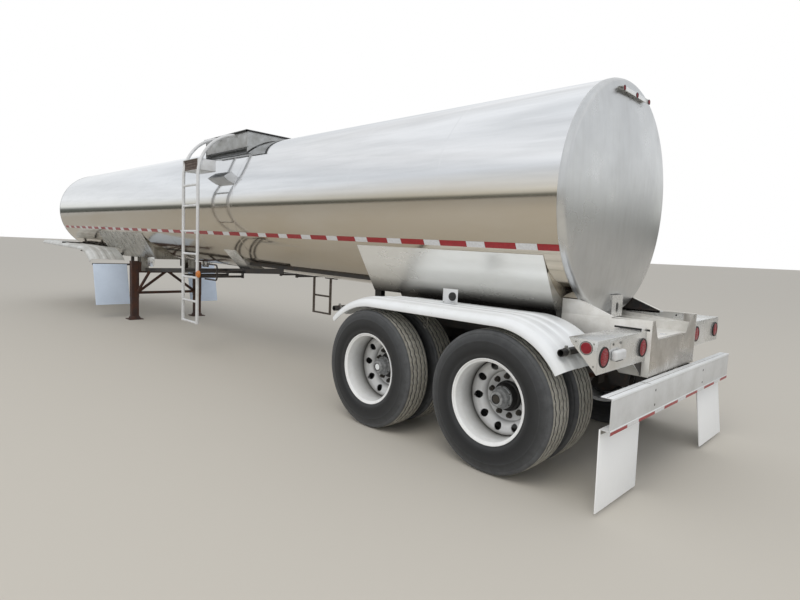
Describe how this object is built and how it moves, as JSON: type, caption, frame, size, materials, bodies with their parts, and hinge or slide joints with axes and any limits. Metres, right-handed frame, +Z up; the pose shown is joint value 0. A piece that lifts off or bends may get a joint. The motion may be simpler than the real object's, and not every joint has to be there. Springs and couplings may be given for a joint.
{
  "type": "tank semi-trailer",
  "caption": "Tandem-axle tank semi-trailer standing uncoupled on landing legs: nose-up cylindrical tank, dual wheels, ribbed fenders, side ladders, hinged manway lid",
  "frame": {"origin": "on the ground, on the centre line, in the middle of the overall length", "axes": "+X forward to the kingpin end, +Y to the trailer's left, +Z up"},
  "size_m": [14.01, 2.438, 3.126],
  "materials": {
    "polished_stainless": "mirror polished",
    "ground_stainless": "satin",
    "white_paint": "gloss",
    "dark_frame_paint": "worn satin",
    "rusted_steel": "matt, rusted",
    "tire_rubber": "matt",
    "flap_rubber": "matt white",
    "red_lens": "gloss",
    "galvanized_steel": "dull"
  },
  "bodies": {
    "trailer": {"air_reservoir": "dark_frame_paint", "axle_front": "dark_frame_paint", "axle_rear": "dark_frame_paint", "brake_chambers": "dark_frame_paint", "bumper": "white_paint", "bumper_brackets": "dark_frame_paint", "coupler_frame": "dark_frame_paint", "coupler_plate": "rusted_steel", "fender_markers": "galvanized_steel", "fender_tubes": "dark_frame_paint", "frame_rails": "dark_frame_paint", "front_fender_arms": "dark_frame_paint", "front_fender_left": "white_paint", "front_fender_right": "white_paint", "front_flap_hangers": "dark_frame_paint", "front_mud_flaps": "flap_rubber", "head_bracket": "ground_stainless", "kingpin": "rusted_steel", "ladder_left": "galvanized_steel", "ladder_right": "galvanized_steel", "lamp_boxes": "ground_stainless", "landing_braces": "rusted_steel", "landing_feet": "rusted_steel", "landing_legs": "rusted_steel", "leaf_springs": "rusted_steel", "manway_neck": "polished_stainless", "outlet_pipe": "ground_stainless", "rear_center_panel": "ground_stainless", "rear_fender_left": "white_paint", "rear_fender_right": "white_paint", "rear_lamps": "red_lens", "rear_light_bar": "ground_stainless", "rear_mud_flaps": "flap_rubber", "rear_side_plates": "ground_stainless", "saddles": "ground_stainless", "spring_hangers": "dark_frame_paint", "suspension_links": "dark_frame_paint", "suspension_subframe": "dark_frame_paint", "tank_heads": "polished_stainless", "tank_shell": "polished_stainless", "top_platform": "galvanized_steel"},
    "dual_wheel_rear_left": {"tires_rear_left": "tire_rubber", "wheels_rear_left": "white_paint", "hub_rear_left": "dark_frame_paint"},
    "dual_wheel_rear_right": {"tires_rear_right": "tire_rubber", "wheels_rear_right": "white_paint", "hub_rear_right": "dark_frame_paint"},
    "dual_wheel_front_left": {"tires_front_left": "tire_rubber", "wheels_front_left": "white_paint", "hub_front_left": "dark_frame_paint"},
    "dual_wheel_front_right": {"tires_front_right": "tire_rubber", "wheels_front_right": "white_paint", "hub_front_right": "dark_frame_paint"},
    "manway_cover": {"manway_lid": "polished_stainless"}
  },
  "joints": [
    {"name": "wheel_rear_left_spin", "type": "hinge", "parent": "trailer", "child": "dual_wheel_rear_left", "pos_m": [-6.125, 0.90825, 0.508], "axis": [0, 1, 0], "continuous": true},
    {"name": "wheel_rear_right_spin", "type": "hinge", "parent": "trailer", "child": "dual_wheel_rear_right", "pos_m": [-6.125, -0.90825, 0.508], "axis": [0, 1, 0], "continuous": true},
    {"name": "wheel_front_left_spin", "type": "hinge", "parent": "trailer", "child": "dual_wheel_front_left", "pos_m": [-4.8804, 0.90825, 0.508], "axis": [0, 1, 0], "continuous": true},
    {"name": "wheel_front_right_spin", "type": "hinge", "parent": "trailer", "child": "dual_wheel_front_right", "pos_m": [-4.8804, -0.90825, 0.508], "axis": [0, 1, 0], "continuous": true},
    {"name": "manway_lid_hinge", "type": "hinge", "parent": "trailer", "child": "manway_cover", "pos_m": [-0.761, 0, 3.082], "axis": [0, 1, 0], "range_deg": [0, 110]}
  ]
}
